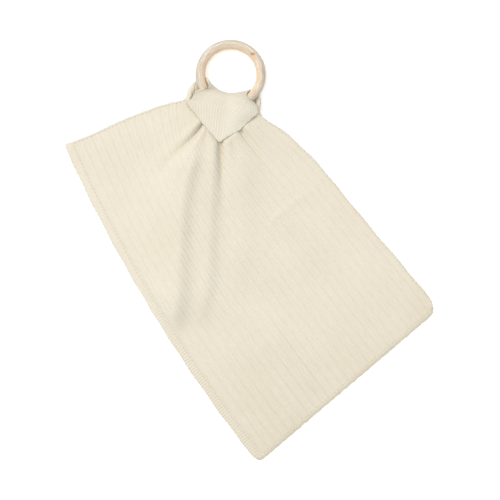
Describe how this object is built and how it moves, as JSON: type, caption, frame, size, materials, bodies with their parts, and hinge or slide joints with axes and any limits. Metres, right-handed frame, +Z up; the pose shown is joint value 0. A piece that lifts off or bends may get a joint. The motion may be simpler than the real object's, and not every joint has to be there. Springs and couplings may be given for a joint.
{
  "type": "teething ring",
  "caption": "Smooth wooden teething ring with a knitted comfort cloth, one corner of which is drawn through the ring and folded down over the front.",
  "frame": {"origin": "on the surface that the object lies on, under the middle of its footprint", "axes": "+Z up off the surface, +Y from the cloth towards the ring, +X to the right seen from above with the ring at the top"},
  "size_m": [0.3704, 0.4198, 0.0157],
  "materials": {
    "wood": "sanded smooth, unvarnished beech",
    "knit": "soft matt ribbed cotton knit",
    "thread": "matt cotton sewing thread"
  },
  "bodies": {
    "cloth": {"cloth_panel": "knit", "corner_flap": "knit", "flap_hem": "knit", "tack_stitches": "thread", "left_hem": "knit", "bottom_hem": "knit", "right_hem": "knit", "top_hem": "knit", "left_hem_thread": "thread", "bottom_hem_thread": "thread", "right_hem_thread": "thread", "top_hem_thread": "thread"},
    "wrap": {"ring_wrap": "knit"},
    "ring": {"wooden_ring": "wood"}
  },
  "joints": [
    {"name": "ring_swing", "type": "hinge", "parent": "cloth", "child": "wrap", "pos_m": [-0.0262, 0.14546, 0.00823], "axis": [0.9744, -0.225, 0], "range_deg": [0, 140]},
    {"name": "ring_spin", "type": "hinge", "parent": "wrap", "child": "ring", "pos_m": [-0.01939, 0.17493, 0.00646], "axis": [0.0131, 0.0567, 0.9983], "continuous": true}
  ]
}
